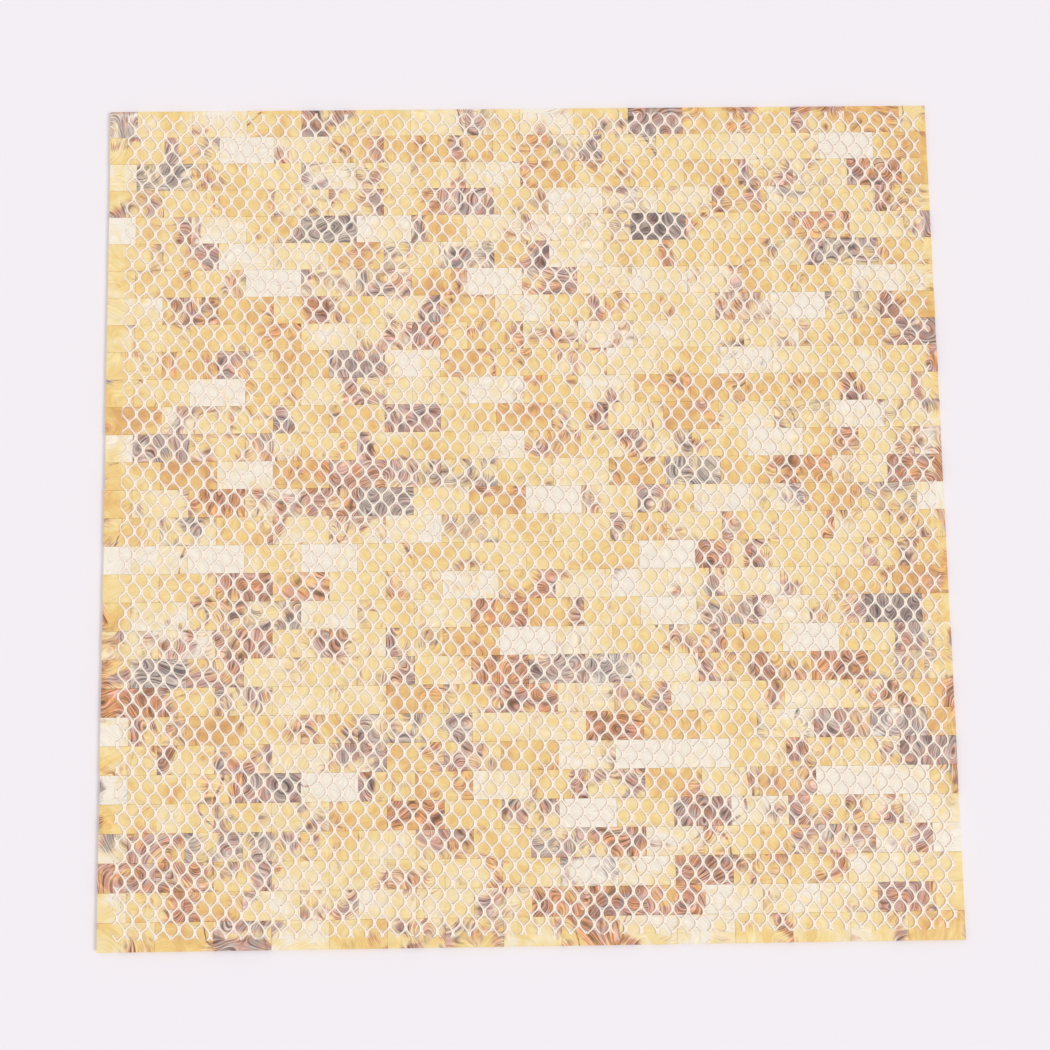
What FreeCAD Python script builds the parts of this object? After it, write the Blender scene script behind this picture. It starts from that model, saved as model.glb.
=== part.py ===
import FreeCAD, Part
import math
import os

Vector = FreeCAD.Vector

# Shell strips, in millimetres
strip_length = 19.9
strip_width = 9.9
shell_thickness = 2.0
joint = 0.1
strips_per_course = 15
course_count = 30

# Fibre net: the grid of its openings
mesh_across = 5.507
mesh_along = 8.466
row_slope_deg = 7.24
column_lean_deg = 0.45
centre_opening_x = 0.46
centre_opening_y = 0.33

# Fibre net: its threads
thread_width = 0.865
bond_width = 1.09
bond_length = 2.3
net_thickness = 0.4

# Fibre net: how far its cut edges lie inside the sheet's edges
net_inset_left = 6.0
net_inset_right = 3.0
net_inset_top = 2.0
net_inset_bottom = 4.0

# The net is divided along its columns of openings, this many openings to a panel
panel_columns = 2

# Sizes that follow
strip_pitch = strip_length + joint
course_pitch = strip_width + joint
half_strip = (strip_length - joint) / 2
sheet_length = strips_per_course * strip_pitch - joint
sheet_width = course_count * course_pitch - joint
row_step = Vector(math.cos(math.radians(row_slope_deg)), -math.sin(math.radians(row_slope_deg)), 0)
column_step = Vector(math.sin(math.radians(column_lean_deg)), math.cos(math.radians(column_lean_deg)), 0)


def course_lengths(course):
    # every other course starts and ends with a half strip, which gives the running bond
    if course % 2 == 0:
        return [half_strip] + [strip_length] * (strips_per_course - 1) + [half_strip]
    return [strip_length] * strips_per_course


def shell_course(course):
    # course 0 lies along the far edge of the sheet
    near_side = sheet_width / 2 - strip_width - course * course_pitch
    left_end = -sheet_length / 2
    strips = []
    for length in course_lengths(course):
        corner = Vector(left_end, near_side, 0)
        strips.append(Part.makeBox(length, strip_width, shell_thickness, corner))
        left_end += length + joint
    return Part.makeCompound(strips)


def net_outline():
    # the rectangle that the net was cut to
    left = -sheet_length / 2 + net_inset_left
    right = sheet_length / 2 - net_inset_right
    bottom = -sheet_width / 2 + net_inset_bottom
    top = sheet_width / 2 - net_inset_top
    return left, right, bottom, top


def opening_shape():
    # six corners, clockwise from the top, measured along the row and the column
    peak = mesh_along / 2 - bond_length / 2
    shoulder = bond_length / 2
    slope = (peak - shoulder) / (mesh_across / 2)
    top = peak - thread_width / 2 * math.hypot(1, slope)
    side = mesh_across / 2 - bond_width / 2
    knee = top - slope * side
    return [(0, top), (side, knee), (side, -knee), (0, -top), (-side, -knee), (-side, knee)]


def grid_point(across, along):
    # a place on the net, counted in openings from the one nearest the sheet's middle
    start = Vector(centre_opening_x, centre_opening_y, shell_thickness)
    return start + row_step * (across * mesh_across) + column_step * (along * mesh_along)


def opening_corners(across, along):
    centre = grid_point(across, along)
    return [centre + row_step * x + column_step * y for x, y in opening_shape()]


def closed_wire(corners):
    return Part.makePolygon(corners + [corners[0]])


def opening_places(first_column, last_column):
    # the openings' rows are staggered: each half column is half a mesh higher or lower
    left, right, bottom, top = net_outline()
    reach = math.ceil((top - bottom + right - left) / 2 / mesh_along)
    for half_column in range(2 * first_column, 2 * last_column + 1):
        stagger = 0.5 * (half_column % 2)
        for row in range(-reach, reach + 1):
            yield half_column / 2, row + stagger


def net_panel(first_column, last_column):
    # the threads between two columns of openings, cut to the net's outline
    left, right, bottom, top = net_outline()
    reach = math.ceil((top - bottom + right - left) / 2 / mesh_along)
    band = [
        grid_point(first_column, -reach),
        grid_point(last_column, -reach),
        grid_point(last_column, reach),
        grid_point(first_column, reach),
    ]
    cut_to = Part.makePlane(right - left, top - bottom, Vector(left, bottom, shell_thickness))
    cloth = Part.Face(closed_wire(band)).common(cut_to).Faces[0]
    inside = []
    across_edge = []
    for place in opening_places(first_column, last_column):
        corners = opening_corners(*place)
        held = [cloth.isInside(corner, 1e-6, False) for corner in corners]
        if all(held):
            inside.append(closed_wire(corners))
        elif grid_point(*place).y > bottom - mesh_along and grid_point(*place).y < top + mesh_along:
            across_edge.append(Part.Face(closed_wire(corners)))
    notched = cloth.cut(Part.makeCompound(across_edge))
    threads = max(notched.Faces, key=lambda face: face.Area)
    open_cloth = Part.Face([threads.OuterWire] + inside)
    return open_cloth.extrude(Vector(0, 0, net_thickness))


def net_columns():
    # column lines where one panel ends and the next starts; the end panels reach past the outline
    left, right, bottom, top = net_outline()
    lean = abs(column_step.x) * (top - bottom) / 2
    pitch = row_step.x * mesh_across
    first = math.ceil((left + lean - centre_opening_x) / pitch) + 1
    last = math.floor((right - lean - centre_opening_x) / pitch)
    inner = list(range(first, last, panel_columns))
    reach = panel_columns + 2
    return [inner[0] - reach] + inner + [inner[-1] + reach]


def save(shape, node):
    shape.exportStep("parts/" + node + ".step")


os.makedirs("parts", exist_ok=True)

for course in range(course_count):
    save(shell_course(course), "shell_course_%02d" % (course + 1))

columns = net_columns()
for panel in range(len(columns) - 1):
    save(net_panel(columns[panel], columns[panel + 1]), "net_panel_%02d" % (panel + 1))
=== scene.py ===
import math
import random

import bmesh
import bpy
from mathutils import Euler, Matrix, Vector, noise


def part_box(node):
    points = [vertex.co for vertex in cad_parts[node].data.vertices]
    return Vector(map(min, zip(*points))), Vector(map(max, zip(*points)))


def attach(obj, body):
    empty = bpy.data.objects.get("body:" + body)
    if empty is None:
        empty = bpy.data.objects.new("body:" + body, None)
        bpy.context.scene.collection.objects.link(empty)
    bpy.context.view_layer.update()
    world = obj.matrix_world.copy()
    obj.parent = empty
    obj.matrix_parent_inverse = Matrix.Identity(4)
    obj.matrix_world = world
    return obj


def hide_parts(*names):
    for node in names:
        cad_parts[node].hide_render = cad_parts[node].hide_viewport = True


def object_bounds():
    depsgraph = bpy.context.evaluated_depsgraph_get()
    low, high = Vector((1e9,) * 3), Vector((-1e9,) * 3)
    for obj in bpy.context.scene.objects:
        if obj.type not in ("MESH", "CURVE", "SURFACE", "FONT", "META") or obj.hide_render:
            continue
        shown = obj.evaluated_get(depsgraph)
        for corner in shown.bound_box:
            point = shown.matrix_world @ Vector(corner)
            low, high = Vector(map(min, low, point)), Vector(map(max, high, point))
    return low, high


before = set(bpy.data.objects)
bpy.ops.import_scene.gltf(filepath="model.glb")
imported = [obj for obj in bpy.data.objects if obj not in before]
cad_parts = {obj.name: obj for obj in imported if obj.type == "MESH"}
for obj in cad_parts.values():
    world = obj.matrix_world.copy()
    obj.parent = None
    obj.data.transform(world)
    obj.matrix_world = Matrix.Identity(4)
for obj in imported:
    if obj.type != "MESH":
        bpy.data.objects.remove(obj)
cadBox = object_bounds()
mm = 0.001
print("frame loaded,", len(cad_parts), "nodes")


def linear(hexColour):
    # sRGB hex to the linear colour that a shader socket takes
    channels = [int(hexColour[i:i + 2], 16) / 255 for i in (1, 3, 5)]
    return [c / 12.92 if c <= 0.04045 else ((c + 0.055) / 1.055) ** 2.4 for c in channels] + [1.0]


def addNode(tree, kind, inputs=None, stops=None, **settings):
    # one node: its settings, the stops of a colour ramp, then each input as a link or a value
    node = tree.nodes.new(kind)
    for name, value in settings.items():
        setattr(node, name, value)
    if stops:
        ramp = node.color_ramp
        while len(ramp.elements) < len(stops):
            ramp.elements.new(1.0)
        for element, (position, colour) in zip(ramp.elements, stops):
            element.position = position
            element.color = linear(colour)
    for socket, value in (inputs or {}).items():
        if isinstance(value, bpy.types.Node):
            value = value.outputs[0]  # a node stands for its first output
        if isinstance(value, bpy.types.NodeSocket):
            tree.links.new(value, node.inputs[socket])
        else:
            node.inputs[socket].default_value = value
    return node


def newMaterial(name):
    material = bpy.data.materials.new(name)
    material.use_nodes = True
    material.node_tree.nodes.clear()
    return material


def pieceFromMesh(bm, name, materials):
    mesh = bpy.data.meshes.new(name)
    bm.to_mesh(mesh)
    bm.free()
    piece = bpy.data.objects.new(name, mesh)
    bpy.context.scene.collection.objects.link(piece)
    for material in materials:
        mesh.materials.append(material)
    return piece


# Camera: nearly straight above the sheet, a little towards its lower left
overhead = {
    "place": (-22.18, -54.43, 497.47),  # mm
    "turn": (6.355, -0.614, -0.732),  # degrees
    "lens": 48.0,  # mm
    "sensor": 36.0,  # mm
    "shift": (0.0424, -0.0121),
    "nearest": 10.0,  # mm
}

cameraData = bpy.data.cameras.new("overheadCamera")
cameraData.lens = overhead["lens"]
cameraData.sensor_width = overhead["sensor"]
cameraData.shift_x, cameraData.shift_y = overhead["shift"]
cameraData.clip_start = overhead["nearest"] * mm
camera = bpy.data.objects.new("overheadCamera", cameraData)
camera.location = Vector(overhead["place"]) * mm
camera.rotation_euler = Euler([math.radians(angle) for angle in overhead["turn"]])
bpy.context.scene.collection.objects.link(camera)
bpy.context.scene.camera = camera
print("camera placed")


# Net grid, as in the CAD model: where the openings of the glued net lie
netGrid = {
    "across": 5.507,  # mm between openings along a row
    "along": 8.466,  # mm between openings along a column
    "rowSlope": 7.24,  # degrees, down to the right
    "columnLean": 0.45,  # degrees, to the right going up
    "start": (0.46, 0.33),  # mm, the opening nearest the sheet's middle
    "panelColumns": 2,  # openings across one piece of the net
    "insetLeft": 6.0,  # mm from the sheet's sides to where the net was cut
    "insetRight": 3.0,
    "insetTop": 2.0,
    "insetBottom": 4.0,
    # how the hand-laid net is pulled out of line: mm for each (power of x, power of y), where x and y
    # run from -1 to 1 across the sheet
    "pullSideways": {
        (1, 0): 0.35, (1, 1): 0.55, (0, 2): 0.25, (2, 1): -0.95, (1, 2): -1.2, (3, 0): -0.5,
    },
    "pullAlong": {
        (0, 0): -0.7, (1, 0): 0.42, (2, 0): 2.7, (1, 1): 0.65, (0, 2): -0.55, (3, 0): -1.9, (0, 3): -0.4,
        (2, 1): -0.3,
    },
    "reach": 150.0,  # mm from the middle to where x and y are 1
    "wander": 0.14,  # mm, slow uneven drift on top of that
    "wanderSize": 34.0,  # mm
}
rowStep = Vector((
    math.cos(math.radians(netGrid["rowSlope"])),
    -math.sin(math.radians(netGrid["rowSlope"])),
    0,
)) * netGrid["across"]
columnStep = Vector((
    math.sin(math.radians(netGrid["columnLean"])),
    math.cos(math.radians(netGrid["columnLean"])),
    0,
)) * netGrid["along"]
gridStart = Vector((*netGrid["start"], 0))


def netPull(spot):
    # how far in mm the net at this place was pulled off its even grid
    x, y = spot.x / netGrid["reach"], spot.y / netGrid["reach"]
    sideways = sum(pull * x ** i * y ** j for (i, j), pull in netGrid["pullSideways"].items())
    along = sum(pull * x ** i * y ** j for (i, j), pull in netGrid["pullAlong"].items())
    drift = noise.noise_vector(Vector((spot.x, spot.y, 0)) / netGrid["wanderSize"]) * netGrid["wander"]
    return Vector((sideways + drift.x, along + drift.y, 0))


def netPoint(across, along):
    # a place on the net in mm, counted in openings
    even = gridStart + rowStep * across + columnStep * along
    spot = even + netPull(even)
    return even + netPull(spot)


def netCount(spot):
    # the opposite: how many openings across and along a place in mm lies
    even = spot - netPull(spot) - gridStart
    area = rowStep.x * columnStep.y - rowStep.y * columnStep.x
    across = (even.x * columnStep.y - even.y * columnStep.x) / area
    along = (even.y * rowStep.x - even.x * rowStep.y) / area
    return across, along


def netOutline():
    # the rectangle in mm that the net was cut to, on top of the strips
    low, high = [corner / mm for corner in cadBox]
    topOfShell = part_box("shell_course_01")[1].z / mm
    return (
        Vector((low.x + netGrid["insetLeft"], low.y + netGrid["insetBottom"], topOfShell)),
        Vector((high.x - netGrid["insetRight"], high.y - netGrid["insetTop"], topOfShell)),
    )


# Shell strips: the courses of mother-of-pearl
strips = {
    "seed": 11,
    "length": 20.0,  # mm, pitch along a course
    "perCourse": 15,
    "joint": 0.1,  # mm between two strips in the CAD model
    "seam": 0.04,  # mm, the hairline left between them here
    "edgeRound": 0.07,  # mm
    "unevenTop": 0.05,  # mm, how far a strip's back may lie low
    "unevenEnd": 0.22,  # mm, how far a strip at the sheet's side may stop short
    "turnSpread": 0.8,  # radians, how unlike the directions are in which the strips were cut
    "cutSpread": 400.0,  # mm, how far apart in the shell they were cut
    "crescents": 0.2,  # share of the strips with a thin dark layer cut across near one end
    "crescentDark": (0.2, 0.45),  # how dark that layer is, at least and at most
    # kind: depth of its gold, how much of it is dark layer, tint of that layer (0 rust, 0.5 mauve, 1 slate)
    # and how much darker one end is (from 0.2 the right one, from -0.2 the left one, else either)
    "kinds": {
        "white": (-0.06, -0.40, 0.60, 0.00),
        "lilac": (0.06, 0.04, 0.85, 0.00),
        "cream": (0.17, -0.18, 0.40, 0.16),
        "paleGold": (0.33, -0.12, 0.40, 0.16),
        "gold": (0.48, -0.10, 0.35, 0.16),
        "deepGold": (0.63, -0.06, 0.15, 0.12),
        "cloudy": (0.34, 0.10, 0.60, 0.10),
        "greige": (0.33, 0.22, 0.90, 0.00),
        "rust": (0.64, 0.25, 0.00, 0.00),
        "umber": (0.48, 0.32, 0.35, 0.00),
        "slate": (0.40, 0.44, 0.72, 0.00),
        "ink": (0.40, 0.85, 0.85, 0.00),
        "darkLeft": (0.45, -0.03, 0.40, -0.46),
        "darkRight": (0.45, -0.03, 0.40, 0.46),
    },
    "ownEnd": 0.2,  # from this much on, a kind says itself which end is darker
    "depthSpread": 0.08,  # how unlike two strips of one kind are
    "darkSpread": 0.04,
    "tintSpread": 0.15,
    # strips listed one by one: (course from the top, place from the left), both counted from 0
    "listed": {
        "white": [
            (1, 2), (1, 13), (4, 0), (6, 3), (6, 7), (7, 12), (10, 2), (12, 12), (14, 8), (14, 15),
            (16, 0), (16, 2), (16, 4), (16, 10), (18, 10), (19, 7), (19, 12), (23, 9), (23, 10), (24, 4),
            (24, 13), (24, 14), (25, 8), (26, 15), (28, 11),
        ],
        "lilac": [
            (0, 0), (2, 0), (2, 4), (3, 12), (5, 2), (9, 11), (19, 1), (21, 8), (22, 12), (24, 0),
            (26, 0), (27, 8), (28, 0),
        ],
        "gold": [(1, 0), (16, 6), (23, 0), (25, 0), (29, 0)],
        "cream": [
            (2, 7), (3, 8), (3, 10), (4, 2), (4, 14), (6, 9), (6, 14), (9, 5), (10, 6), (10, 7),
            (11, 13), (14, 11), (15, 5), (17, 9), (18, 6), (20, 3), (20, 6), (20, 10), (21, 12), (22, 7),
            (22, 8), (25, 11), (27, 13), (28, 6), (28, 12),
        ],
        "ink": [(4, 10), (18, 14)],
        "slate": [(0, 10), (3, 6), (4, 4), (9, 4), (11, 5), (14, 5), (22, 5), (23, 14), (24, 3)],
        "umber": [
            (2, 14), (4, 13), (6, 8), (7, 1), (12, 1), (13, 4), (13, 14), (14, 4), (16, 11), (17, 2),
            (19, 2), (20, 2), (21, 7), (22, 13), (25, 10), (26, 1), (26, 9), (27, 0), (27, 10), (28, 8),
            (28, 9), (28, 14),
        ],
        "rust": [
            (13, 12), (14, 2), (18, 7), (20, 7), (20, 13), (21, 0), (22, 9), (22, 10), (25, 5), (28, 10),
        ],
        "greige": [
            (2, 1), (5, 13), (13, 6), (13, 10), (15, 1), (15, 6), (20, 1), (20, 9), (26, 2), (29, 2),
        ],
        "deepGold": [
            (1, 5), (1, 6), (2, 2), (7, 2), (9, 3), (10, 10), (10, 11), (10, 12), (11, 0), (11, 10),
            (22, 2), (24, 6), (29, 1),
        ],
        "cloudy": [
            (0, 13), (2, 13), (3, 0), (3, 4), (5, 5), (5, 6), (8, 5), (8, 15), (12, 3), (13, 5),
            (14, 3), (17, 12), (19, 10), (21, 2), (22, 6), (26, 3), (26, 13), (27, 1), (29, 8),
        ],
        "darkLeft": [
            (0, 12), (1, 1), (3, 11), (3, 14), (5, 10), (7, 14), (8, 6), (9, 2), (11, 3), (12, 5),
            (15, 9), (16, 12), (19, 4), (19, 5), (20, 12), (23, 1), (24, 5), (25, 12), (28, 2),
        ],
        "darkRight": [
            (1, 4), (2, 6), (4, 1), (5, 1), (5, 7), (5, 12), (6, 11), (7, 3), (7, 5), (8, 14),
            (9, 14), (10, 4), (10, 13), (12, 9), (15, 2), (17, 7), (18, 8), (20, 5), (21, 6), (24, 2),
            (24, 8), (24, 12), (27, 2), (27, 6), (28, 1),
        ],
    },
    # how many in a hundred of the strips that aren't listed are of each kind
    "shares": {"cream": 18, "paleGold": 26, "gold": 26, "deepGold": 8, "cloudy": 22},
}


def stripKind(course, place, chance):
    for kind, places in strips["listed"].items():
        if (course, place) in places:
            return kind
    return chance.choices(list(strips["shares"]), list(strips["shares"].values()))[0]


def roundedBlock(low, high):
    bm = bmesh.new()
    place = Matrix.Translation((low + high) / 2) @ Matrix.Diagonal((*(high - low), 1))
    bmesh.ops.create_cube(bm, size=1.0, matrix=place)
    bmesh.ops.bevel(
        bm,
        geom=bm.edges[:],
        offset=strips["edgeRound"],
        offset_type="OFFSET",
        affect="EDGES",
        segments=1,
        profile=0.5,
        material=-1,
    )
    return bm


def shellStrip(low, high, kind, chance):
    # one strip between two corners in mm; its points carry where in the shell it was cut, its colouring,
    # how near its darker end they are, and where they lie under the net
    bm = roundedBlock(low, high)
    middle = (low + high) / 2
    halfLength = (high.x - low.x) / 2
    depth, dark, tint, darkEnd = strips["kinds"][kind]
    turn = Matrix.Rotation(chance.gauss(0, strips["turnSpread"]), 3, "Z")
    cutFrom = Vector([chance.uniform(-strips["cutSpread"], strips["cutSpread"]) for axis in range(3)])
    depth += chance.gauss(0, strips["depthSpread"])
    dark += chance.gauss(0, strips["darkSpread"])
    tint = min(1, max(0, tint + chance.gauss(0, strips["tintSpread"])))
    eitherEnd = abs(darkEnd) < strips["ownEnd"]
    towardsEnd = chance.choice((-1, 1)) if eitherEnd else math.copysign(1, darkEnd)
    hasCrescent = chance.random() < strips["crescents"]
    crescent = chance.uniform(*strips["crescentDark"]) if hasCrescent else 0
    netLow, netHigh = netOutline()
    cutLayer = bm.verts.layers.float_vector.new("shellCut")
    toneLayer = bm.verts.layers.float_vector.new("shellTone")
    endLayer = bm.verts.layers.float_vector.new("shellEnd")
    netLayer = bm.verts.layers.float_vector.new("underNet")
    for vert in bm.verts:
        spot = vert.co
        vert[cutLayer] = turn @ (spot - middle) + cutFrom
        vert[toneLayer] = Vector((depth, dark, tint))
        vert[endLayer] = Vector((towardsEnd * (spot.x - middle.x) / halfLength, abs(darkEnd), crescent))
        insideNet = min(spot.x - netLow.x, netHigh.x - spot.x, spot.y - netLow.y, netHigh.y - spot.y)
        vert[netLayer] = Vector((*netCount(spot), insideNet))
        vert.co *= mm
    bm.normal_update()
    for face in bm.faces:
        polishedFace = face.normal.z < -0.9
        face.material_index = 1 if polishedFace else 0
    return bm


def shellCourse(course, materials):
    # one course, from the box of its CAD node
    node = "shell_course_%02d" % (course + 1)
    low, high = [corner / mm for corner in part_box(node)]
    sheetLow, sheetHigh = [corner / mm for corner in cadBox]
    halfJoint = strips["joint"] / 2
    halfSeam = strips["seam"] / 2
    chance = random.Random(strips["seed"] * 1000 + course)  # each course draws on its own
    startsWithHalf = course % 2 == 0
    count = strips["perCourse"] + (1 if startsWithHalf else 0)
    shift = strips["length"] / 2 if startsWithHalf else 0
    scratch = bpy.data.meshes.new("scratch")
    bm = bmesh.new()
    for place in range(count):
        left = max(low.x, low.x + place * strips["length"] - shift - halfJoint) + halfSeam
        right = min(high.x, low.x + (place + 1) * strips["length"] - shift - halfJoint) - halfSeam
        if place == 0:
            left = low.x + chance.uniform(0, strips["unevenEnd"])
        if place == count - 1:
            right = high.x - chance.uniform(0, strips["unevenEnd"])
        near = max(low.y - halfJoint, sheetLow.y) + halfSeam
        far = min(high.y + halfJoint, sheetHigh.y) - halfSeam
        back = high.z - chance.uniform(0, strips["unevenTop"])
        kind = stripKind(course, place, chance)
        strip = shellStrip(Vector((left, near, low.z)), Vector((right, far, back)), kind, chance)
        strip.to_mesh(scratch)
        strip.free()
        bm.from_mesh(scratch)
    bpy.data.meshes.remove(scratch)
    piece = pieceFromMesh(bm, "shellCourse%02d" % (course + 1), materials)
    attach(piece, "root")
    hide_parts(node)


# Mother-of-pearl, sawn and ground on its back: gold layers with rust, mauve and slate ones showing through,
# satin rather than glossy, milky where the net's glue has run out beside the threads, and greyed round each
# opening by a thin glue film with the threads' shade painted into it
nacreLook = {
    "gold": [
        (0.00, "#F4EADA"), (0.12, "#F5E3BE"), (0.24, "#F4DDA8"), (0.38, "#F2D796"), (0.52, "#EFCC82"),
        (0.66, "#E9BF77"), (0.80, "#E2AF68"), (0.94, "#D39B60"),
    ],
    "dark": [
        (0.00, "#D99A62"), (0.14, "#CA8257"), (0.34, "#D09376"), (0.54, "#CB998B"), (0.72, "#C09A94"),
        (0.88, "#B39C98"), (1.00, "#B5A69C"),
    ],
    "deepTint": (0.32, 0.26, 0.32),  # what is left of each colour deep inside a dark layer
    "cloudFine": 0.55,  # how much of all the noise is in its finer detail
    "cloudSize": 10.0,  # mm, of the clouds in the gold
    "cloudSpread": 1.3,  # how far they move its depth
    "arcSize": 19.0,  # mm, of the large clouds whose level lines the shell's layers follow
    "patchSize": 13.5,  # mm, of the patches of dark layer
    "patchSpread": 2.2,  # how hard they are
    "patchFewer": 0.3,  # the more, the fewer of them
    "patchesFrom": (71, 37, 13),  # mm, to where in the noise they are taken
    "bandShare": 0.27,  # how much of the dark layer is bands along the shell's layers
    "endReach": 0.9,  # where a dark end is at its darkest: 0 is the strip's middle and 1 its end
    "arcLine": (0.006, 0.03),  # where a thin dark line along a layer is full and where it ends
    "arcLineDark": 0.09,  # how much dark layer it adds
    "crescentLine": (0.02, 0.06),
    "crescentPlace": 0.8,  # from the strip's middle to its end
    "crescentBend": 3.0,  # how far the large clouds bend it
    "shows": (0.79, 1.12, 0.92),  # where a dark layer starts and is full, and how much gold it then hides
    "deepens": (0.95, 1.95),  # where it starts to be deep, and is deepest
    "tintSize": 4.5,  # mm
    "tintSpread": (2.2, -1.11),  # how far the tint moves, and from where
    "tintInside": 0.3,  # how much more slate the dark layer is inside than at its rim
    "tintByLine": 1.2,  # how far the growth lines differ in tint
    # how many across the range of the large clouds, far fewer than real growth lines so that they show,
    # and how many mm long
    "growthLine": (105, 5.0),
    "band": (7, 12.0),
    "lineContrast": (4.0, 0.4),  # strength of the growth lines: what dark layer adds, and in the gold
    "darkestLine": 0.3,  # share of the colour that the darkest growth line leaves
    "glueWithThreadShade": "#C6C8D8",  # thin glue film round each opening, grey-lilac because the threads' shade is painted into it
    "thickGlue": "#FFFAF4",
    "clearOval": (2.1, 2.35),  # mm from the middle of an opening to the glue's edge, across and along
    "glueFilmWithThreadShade": (0.35, 0.85, 0.12),  # share of that way where the thin film with its painted shade starts and is full, and its cover
    "glueFillet": (0.96, 1.14, 0.68),
    "glueEnds": 0.5,  # mm, how far the glue runs past the net's cut edge
}


def glueCovers(tree):
    # how much of the shell the thin film of glue, with the threads' painted shade, hides, and how much the
    # thick glue: the clear oval that stays in the middle of an opening ends where the distance to its
    # centre is 1
    underNet = addNode(tree, "ShaderNodeAttribute", attribute_name="underNet").outputs["Vector"]
    across, along, insideNet = addNode(tree, "ShaderNodeSeparateXYZ", {0: underNet}).outputs
    clearAcross, clearAlong = nacreLook["clearOval"]
    fromCentre = []
    for stagger in (0.0, 0.5):
        squares = []
        for count, inOvals in (
            (across, netGrid["across"] / clearAcross),
            (along, netGrid["along"] / clearAlong),
        ):
            away = addNode(tree, "ShaderNodeMath", {0: count, 1: stagger}, operation="ADD")
            away = addNode(tree, "ShaderNodeMath", {0: away, 1: 0.5}, operation="PINGPONG")
            away = addNode(tree, "ShaderNodeMath", {0: away, 1: inOvals}, operation="MULTIPLY")
            squares.append(addNode(tree, "ShaderNodeMath", {0: away, 1: 2.0}, operation="POWER"))
        both = addNode(tree, "ShaderNodeMath", {0: squares[0], 1: squares[1]}, operation="ADD")
        fromCentre.append(addNode(tree, "ShaderNodeMath", {0: both}, operation="SQRT"))
    distance = addNode(tree, "ShaderNodeMath", {0: fromCentre[0], 1: fromCentre[1]}, operation="MINIMUM")
    hasNet = addNode(tree, "ShaderNodeMapRange", {
        "Value": insideNet, "From Min": -nacreLook["glueEnds"], "From Max": nacreLook["glueEnds"],
    })
    covers = []
    for starts, ends, cover in (nacreLook["glueFilmWithThreadShade"], nacreLook["glueFillet"]):
        glue = addNode(tree, "ShaderNodeMapRange", {
            "Value": distance, "From Min": starts, "From Max": ends, "To Max": cover,
        }, interpolation_type="SMOOTHSTEP")
        covers.append(addNode(tree, "ShaderNodeMath", {0: glue, 1: hasNet}, operation="MULTIPLY"))
    return covers


def cloud(tree, place, size, detail, distortion):
    # noise with clouds of about this size in mm
    return addNode(tree, "ShaderNodeTexNoise", {
        "Vector": place, "Scale": 1 / size, "Detail": detail, "Roughness": nacreLook["cloudFine"],
        "Distortion": distortion,
    })


def acrossLayers(tree, contour, cut, lineName, detail):
    # noise that changes across the curved layers of the shell, and slowly along them
    count, long = nacreLook[lineName]
    level = addNode(tree, "ShaderNodeMath", {0: contour, 1: count}, operation="MULTIPLY")
    level = addNode(tree, "ShaderNodeCombineXYZ", {0: level})
    place = addNode(tree, "ShaderNodeVectorMath", {0: cut, 1: (1 / long,) * 3, 2: level},
                    operation="MULTIPLY_ADD")
    return cloud(tree, place, size=1.0, detail=detail, distortion=0.0)


def darkLayer(tree, cut, contour, stripDark):
    # patches and bands of noise, more of them in a dark strip and towards a dark end, and thin lines
    end = addNode(tree, "ShaderNodeAttribute", attribute_name="shellEnd").outputs["Vector"]
    alongStrip, darkEnd, crescent = addNode(tree, "ShaderNodeSeparateXYZ", {0: end}).outputs
    aside = addNode(tree, "ShaderNodeVectorMath", {0: cut, 1: nacreLook["patchesFrom"]}, operation="ADD")
    patches = cloud(tree, aside, nacreLook["patchSize"], detail=3.0, distortion=0.8)
    bands = acrossLayers(tree, contour, aside, "band", detail=2.0)
    patches = addNode(tree, "ShaderNodeMix", {0: nacreLook["bandShare"], 2: patches, 3: bands},
                      data_type="FLOAT")
    towardsEnd = addNode(tree, "ShaderNodeMapRange", {
        "Value": alongStrip, "From Max": nacreLook["endReach"],
    }, interpolation_type="SMOOTHSTEP")
    layer = addNode(tree, "ShaderNodeMath", {0: towardsEnd, 1: darkEnd, 2: stripDark},
                    operation="MULTIPLY_ADD")
    layer = addNode(tree, "ShaderNodeMath", {0: layer, 1: nacreLook["patchFewer"]}, operation="SUBTRACT")
    layer = addNode(tree, "ShaderNodeMath", {0: patches, 1: nacreLook["patchSpread"], 2: layer},
                    operation="MULTIPLY_ADD")
    nearEnd = addNode(tree, "ShaderNodeMath", {0: contour, 1: nacreLook["crescentBend"], 2: alongStrip},
                      operation="MULTIPLY_ADD")
    nearEnd = addNode(tree, "ShaderNodeMath", {0: nearEnd, 1: nacreLook["crescentPlace"]},
                      operation="SUBTRACT")
    for line, (full, ends), strength in (
        (contour, nacreLook["arcLine"], nacreLook["arcLineDark"]),
        (nearEnd, nacreLook["crescentLine"], crescent),
    ):
        apart = addNode(tree, "ShaderNodeMath", {0: line}, operation="ABSOLUTE")
        thin = addNode(tree, "ShaderNodeMapRange", {
            "Value": apart, "From Min": full, "From Max": ends, "To Min": strength, "To Max": 0.0,
        })
        layer = addNode(tree, "ShaderNodeMath", {0: layer, 1: thin}, operation="ADD")
    return layer


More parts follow.
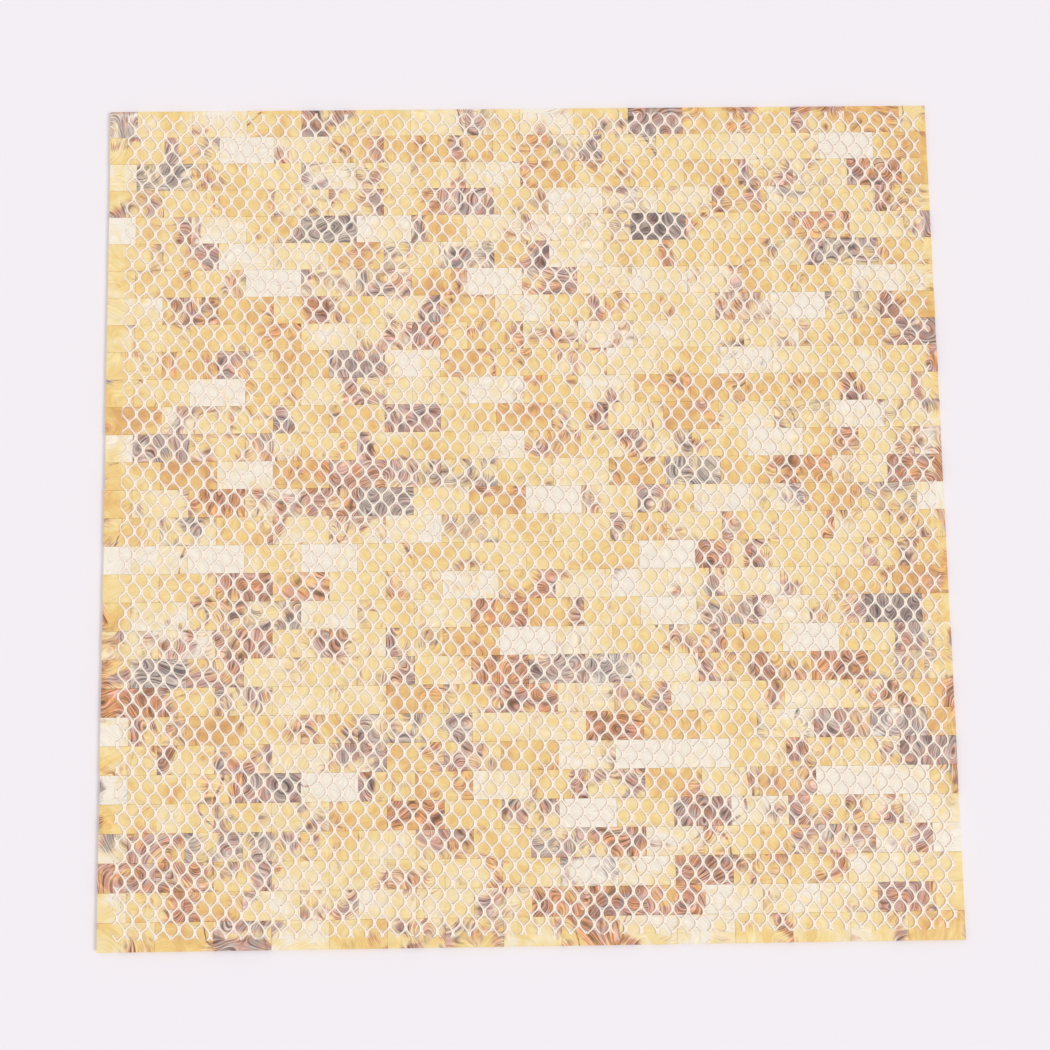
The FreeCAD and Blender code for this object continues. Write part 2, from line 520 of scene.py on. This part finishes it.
def nacreColour(tree):
    # the shell's own colour: gold by the depth of its layers, and dark layers where they come through.
    # A Mix node's colours go in at its sockets 6 and 7, and come out at 2
    cut = addNode(tree, "ShaderNodeAttribute", attribute_name="shellCut").outputs["Vector"]
    tone = addNode(tree, "ShaderNodeAttribute", attribute_name="shellTone").outputs["Vector"]
    stripDepth, stripDark, stripTint = addNode(tree, "ShaderNodeSeparateXYZ", {0: tone}).outputs
    clouds = cloud(tree, cut, nacreLook["cloudSize"], detail=3.0, distortion=0.8)
    spread = nacreLook["cloudSpread"]
    depth = addNode(tree, "ShaderNodeMath", {0: clouds, 1: spread, 2: -spread / 2},
                    operation="MULTIPLY_ADD")
    depth = addNode(tree, "ShaderNodeMath", {0: depth, 1: stripDepth}, operation="ADD")
    gold = addNode(tree, "ShaderNodeValToRGB", {0: depth}, stops=nacreLook["gold"])

    contour = cloud(tree, cut, nacreLook["arcSize"], detail=0.5, distortion=0.4)
    contour = addNode(tree, "ShaderNodeMath", {0: contour, 1: 0.5}, operation="SUBTRACT")
    layer = darkLayer(tree, cut, contour, stripDark)
    starts, ends, cover = nacreLook["shows"]
    shown = addNode(tree, "ShaderNodeMapRange", {
        "Value": layer, "From Min": starts, "From Max": ends, "To Max": cover,
    }, interpolation_type="SMOOTHSTEP")
    starts, ends = nacreLook["deepens"]
    inner = addNode(tree, "ShaderNodeMapRange", {"Value": layer, "From Min": starts, "From Max": ends})

    # fine growth lines, along the rims that the shell's layers make where they are cut across
    lines = acrossLayers(tree, contour, cut, "growthLine", detail=1.2)
    lines = addNode(tree, "ShaderNodeMath", {0: lines, 1: 0.5}, operation="SUBTRACT")

    # tint of the dark layer: rust at its rim, mauve or slate further in, changing from line to line
    spread, start = nacreLook["tintSpread"]
    tint = cloud(tree, cut, nacreLook["tintSize"], detail=2.0, distortion=0.5)
    tint = addNode(tree, "ShaderNodeMath", {0: tint, 1: spread, 2: start}, operation="MULTIPLY_ADD")
    for part, amount in ((inner, nacreLook["tintInside"]), (lines, nacreLook["tintByLine"])):
        tint = addNode(tree, "ShaderNodeMath", {0: part, 1: amount, 2: tint}, operation="MULTIPLY_ADD")
    tint = addNode(tree, "ShaderNodeMath", {0: tint, 1: stripTint}, operation="ADD")
    dark = addNode(tree, "ShaderNodeValToRGB", {0: tint}, stops=nacreLook["dark"])
    dark = addNode(tree, "ShaderNodeMix", {0: inner, 6: dark, 7: (*nacreLook["deepTint"], 1.0)},
                   data_type="RGBA", blend_type="MULTIPLY").outputs[2]
    colour = addNode(tree, "ShaderNodeMix", {0: shown, 6: gold, 7: dark}, data_type="RGBA").outputs[2]

    # the growth lines darken and lighten the dark layers far more than the gold
    byDark, inGold = nacreLook["lineContrast"]
    contrast = addNode(tree, "ShaderNodeMath", {0: shown, 1: byDark, 2: inGold}, operation="MULTIPLY_ADD")
    lines = addNode(tree, "ShaderNodeMath", {0: lines, 1: contrast, 2: 1.0}, operation="MULTIPLY_ADD")
    lines = addNode(tree, "ShaderNodeMath", {0: lines, 1: nacreLook["darkestLine"]}, operation="MAXIMUM")
    return addNode(tree, "ShaderNodeVectorMath", {0: colour, "Scale": lines}, operation="SCALE")


def groundNacre():
    # sawn and ground shell under the net: satin, with milky glue beside the threads and a grey film of glue
    # round each opening that paints in the threads' shade
    material = newMaterial("groundNacre")
    tree = material.node_tree
    colour = nacreColour(tree)
    # the thin film's grey is painted shade from the threads; the thick glue is the glue's own milky white
    for cover, glue in zip(glueCovers(tree), ("glueWithThreadShade", "thickGlue")):
        colour = addNode(tree, "ShaderNodeMix", {0: cover, 6: colour, 7: linear(nacreLook[glue])},
                         data_type="RGBA").outputs[2]
    surface = addNode(tree, "ShaderNodeBsdfPrincipled", {
        "Base Color": colour, "Roughness": 0.40, "IOR": 1.5,
    })
    addNode(tree, "ShaderNodeOutputMaterial", {0: surface})
    return material


def polishedNacre():
    # the finished face of the same shell: ground flat and polished, so glossy and deeper in colour
    material = newMaterial("polishedNacre")
    tree = material.node_tree
    surface = addNode(tree, "ShaderNodeBsdfPrincipled", {
        "Base Color": nacreColour(tree), "Roughness": 0.16, "IOR": 1.53,
        "Coat Weight": 0.4, "Coat Roughness": 0.05,
    })
    addNode(tree, "ShaderNodeOutputMaterial", {0: surface})
    return material


shellMaterials = [groundNacre(), polishedNacre()]
courseCount = len([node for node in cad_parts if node.startswith("shell_course_")])
for course in range(courseCount):
    shellCourse(course, shellMaterials)
print("shell strips laid in", courseCount, "courses")


# Net threads: wavy fibre threads, glued to each other side by side at every bond
threads = {
    "seed": 5,
    "wide": 0.62,  # mm
    "high": 0.4,  # mm
    "unevenWide": (0.9, 1.08),  # share of its width that a thread has, at least and at most
    "bondLength": 2.9,  # mm
    "bondOffset": 0.13,  # mm that a thread's route stays beside the middle of a bond
    "bondJitter": 0.07,  # mm that a bond may lie off its place
    "bondSeed": 1009,  # gives each bond a jitter of its own
    "beadSize": Vector((0.46, 1.65, 0.15)),  # mm, half the size of the glue bead on a bond
    "unevenBead": (0.92, 1.06),
    "endSpread": 0.45,  # mm that the scissors left one thread's end longer than the next
    "cutSlant": 0.004,  # how far out of square the left and far cuts are
    "sides": 6,  # round a thread
    "stepsPerRun": 3,  # along it, for each point of its route
}


def bondPlace(doubleAcross, doubleAlong):
    # the middle of a bond, counted in half openings; its jitter is the same for both of its threads
    chance = random.Random(doubleAcross * threads["bondSeed"] + doubleAlong)
    spot = netPoint(doubleAcross / 2, doubleAlong / 2)
    jitter = threads["bondJitter"]
    return spot + Vector((chance.gauss(0, jitter), chance.gauss(0, jitter), 0))


def threadBonds(thread, low, high):
    # the bonds along a thread, each with whether it joins the thread to its left neighbour
    reach = math.ceil(((high.y - low.y) + (high.x - low.x)) / netGrid["along"])
    for halfStep in range(-reach, reach + 1):
        toLeft = (thread + halfStep) % 2 == 1
        bond = bondPlace(thread if toLeft else thread + 1, halfStep)
        if low.y - netGrid["along"] < bond.y < high.y + netGrid["along"]:
            yield bond, toLeft


def threadRoute(thread, low, high):
    # two points for each bond: the thread runs beside its left neighbour, then beside its right one
    halfBond = columnStep.normalized() * threads["bondLength"] / 2
    route = []
    for bond, toLeft in threadBonds(thread, low, high):
        middle = bond + Vector((threads["bondOffset"] * (1 if toLeft else -1), 0, 0))
        route += [middle - halfBond, middle + halfBond]
    return route


def roundThread(route, chance):
    # a smooth tube along the route, level with the floor
    curve = bpy.data.curves.new("scratch", "CURVE")
    curve.dimensions = "3D"
    curve.twist_mode = "Z_UP"
    curve.bevel_depth = threads["wide"] / 2
    curve.bevel_resolution = threads["sides"] // 2 - 2  # 0 gives four sides, and each step two more
    curve.resolution_u = threads["stepsPerRun"]
    curve.use_fill_caps = True
    spline = curve.splines.new("NURBS")
    spline.points.add(len(route) - 1)
    for point, spot in zip(spline.points, route):
        point.co = (spot.x, spot.y, 0, 1)
        point.radius = chance.uniform(*threads["unevenWide"])
    spline.order_u = 4
    spline.use_endpoint_u = True
    holder = bpy.data.objects.new("scratch", curve)
    mesh = bpy.data.meshes.new_from_object(holder)
    bm = bmesh.new()
    bm.from_mesh(mesh)
    bpy.data.objects.remove(holder)
    bpy.data.curves.remove(curve)
    bpy.data.meshes.remove(mesh)
    return bm


def roundBead():
    bm = bmesh.new()
    bmesh.ops.create_uvsphere(bm, u_segments=8, v_segments=4, radius=1.0)
    mesh = bpy.data.meshes.new("scratchBead")
    bm.to_mesh(mesh)
    bm.free()
    return mesh


def cutToOutline(bm, low, high, chance):
    # cuts the threads off where the net was cut, and closes their ends
    slant = threads["cutSlant"]
    nearEnd = low.y + chance.uniform(-1, 1) * threads["endSpread"]
    farEnd = high.y + chance.uniform(-1, 1) * threads["endSpread"]
    for spot, outward in (
        (Vector((low.x, 0, 0)), Vector((-1, slant, 0))),
        (Vector((high.x, 0, 0)), Vector((1, 0, 0))),
        (Vector((0, nearEnd, 0)), Vector((0, -1, 0))),
        (Vector((0, farEnd, 0)), Vector((slant, 1, 0))),
    ):
        cut = bmesh.ops.bisect_plane(
            bm,
            geom=bm.verts[:] + bm.edges[:] + bm.faces[:],
            plane_co=spot,
            plane_no=outward,
            clear_outer=True,
        )
        ends = [part for part in cut["geom_cut"] if isinstance(part, bmesh.types.BMEdge)]
        if ends:
            bmesh.ops.holes_fill(bm, edges=ends, sides=0)


def gluedThread(thread, glueBead, low, high, chance):
    # one thread, flattened a little, with the glue beads on the bonds to its left neighbour
    bm = roundThread(threadRoute(thread, low, high), chance)
    flat = threads["high"] / threads["wide"]
    bmesh.ops.transform(bm, matrix=Matrix.Diagonal((1, 1, flat, 1)), verts=bm.verts[:])
    bmesh.ops.translate(bm, vec=(0, 0, low.z + threads["high"] / 2), verts=bm.verts[:])
    for bond, toLeft in threadBonds(thread, low, high):
        if toLeft:
            # the drop of glue that fills the bond and the narrow ends of the openings above and below it
            bead = glueBead.copy()
            size = threads["beadSize"] * chance.uniform(*threads["unevenBead"])
            bead.transform(Matrix.Diagonal((*size, 1)))
            bead.transform(Matrix.Translation((bond.x, bond.y, low.z + threads["beadSize"].z)))
            bm.from_mesh(bead)
            bpy.data.meshes.remove(bead)
    cutToOutline(bm, low, high, chance)
    bmesh.ops.recalc_face_normals(bm, faces=bm.faces[:])
    bmesh.ops.transform(bm, matrix=Matrix.Scale(mm, 4), verts=bm.verts[:])
    for face in bm.faces:
        cutEnd = len(face.verts) > 4
        face.smooth = not cutEnd
    return bm


def netLines():
    # the column lines at which one CAD panel of the net ends and the next starts
    low, high = netOutline()
    pitch = rowStep.x
    lean = abs(columnStep.x) / netGrid["along"] * (high.y - low.y) / 2
    first = math.ceil((low.x + lean - gridStart.x) / pitch) + 1
    last = math.floor((high.x - lean - gridStart.x) / pitch)
    inner = list(range(first, last, netGrid["panelColumns"]))
    reach = netGrid["panelColumns"] + 2
    return [inner[0] - reach] + inner + [inner[-1] + reach]


def netPanel(panel, lines, material):
    # the threads between two column lines, as one piece
    low, high = netOutline()
    node = "net_panel_%02d" % (panel + 1)
    chance = random.Random(threads["seed"] * 1000 + panel)  # each panel draws on its own
    scratch = bpy.data.meshes.new("scratch")
    glueBead = roundBead()
    bm = bmesh.new()
    for thread in range(2 * lines[panel], 2 * lines[panel + 1]):
        if low.x - netGrid["across"] < netPoint(thread / 2, 0).x < high.x + netGrid["across"]:
            strand = gluedThread(thread, glueBead, low, high, chance)
            strand.to_mesh(scratch)
            strand.free()
            bm.from_mesh(scratch)
    bpy.data.meshes.remove(scratch)
    bpy.data.meshes.remove(glueBead)
    piece = pieceFromMesh(bm, "netPanel%02d" % (panel + 1), [material])
    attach(piece, "root")
    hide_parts(node)


# White polyester fibre soaked in glue: bright cream white, a little glossy
fibreLook = {
    "colours": [(0.3, "#FEEBD8"), (0.7, "#FEF1E2")],
    "strandSize": 0.5,  # mm
    "roughness": 0.35,
}


def bondedFibre():
    material = newMaterial("bondedFibre")
    tree = material.node_tree
    place = addNode(tree, "ShaderNodeTexCoord").outputs["Object"]
    scale = 1 / (fibreLook["strandSize"] * mm)
    strands = addNode(tree, "ShaderNodeTexNoise", {"Vector": place, "Scale": scale, "Detail": 2.0})
    colour = addNode(tree, "ShaderNodeValToRGB", {0: strands}, stops=fibreLook["colours"])
    surface = addNode(tree, "ShaderNodeBsdfPrincipled", {
        "Base Color": colour, "Roughness": fibreLook["roughness"], "IOR": 1.5,
    })
    addNode(tree, "ShaderNodeOutputMaterial", {0: surface})
    return material


fibre = bondedFibre()
lines = netLines()
for panel in range(len(lines) - 1):
    netPanel(panel, lines, fibre)
print("net laid in", len(lines) - 1, "panels")


# Studio: a pale table, light from all round and two soft lamps
studio = {
    "table": "#F3EEF3",
    "tableSize": 12.0,  # m
    "around": 0.6,  # strength of the light from all round
    "lamps": {
        # name: direction that the light comes from, share of the light on a level surface, softness in
        # degrees
        "windowSide": ((0.8, -0.35, 1.0), 0.28, 22),
        "roomSide": ((-0.5, 0.6, 1.2), 0.12, 60),
    },
}


def paleTable():
    material = newMaterial("paleTable")
    tree = material.node_tree
    surface = addNode(tree, "ShaderNodeBsdfPrincipled", {
        "Base Color": linear(studio["table"]), "Roughness": 0.8,
    })
    addNode(tree, "ShaderNodeOutputMaterial", {0: surface})
    bm = bmesh.new()
    bmesh.ops.create_grid(bm, x_segments=8, y_segments=8, size=studio["tableSize"] / 2)
    table = pieceFromMesh(bm, "table", [material])


def studioLight():
    # even white light on the sheet, while the camera and the gloss see the table's colour behind it
    world = bpy.data.worlds.new("studio")
    bpy.context.scene.world = world
    world.use_nodes = True
    tree = world.node_tree
    tree.nodes.clear()
    rays = addNode(tree, "ShaderNodeLightPath").outputs
    seen = addNode(tree, "ShaderNodeMath", {0: rays["Is Camera Ray"], 1: rays["Is Glossy Ray"]},
                   operation="MAXIMUM")
    seen = addNode(tree, "ShaderNodeMath", {0: seen, 1: rays["Is Transmission Ray"]}, operation="MAXIMUM")
    light = addNode(tree, "ShaderNodeBackground", {0: linear("#FFFFFF"), 1: studio["around"]})
    backdrop = addNode(tree, "ShaderNodeBackground", {0: linear(studio["table"]), 1: 1.0})
    both = addNode(tree, "ShaderNodeMixShader", {0: seen, 1: light, 2: backdrop})
    addNode(tree, "ShaderNodeOutputWorld", {0: both})
    for name, (comesFrom, share, softness) in studio["lamps"].items():
        toLamp = Vector(comesFrom).normalized()
        lampData = bpy.data.lights.new(name, "SUN")
        lampData.energy = math.pi * share / toLamp.z
        lampData.angle = math.radians(softness)
        lamp = bpy.data.objects.new(name, lampData)
        lamp.rotation_euler = toLamp.to_track_quat("Z", "Y").to_euler()
        bpy.context.scene.collection.objects.link(lamp)
    bpy.context.scene.view_settings.view_transform = "Standard"


paleTable()
studioLight()
print("table and lamps placed")
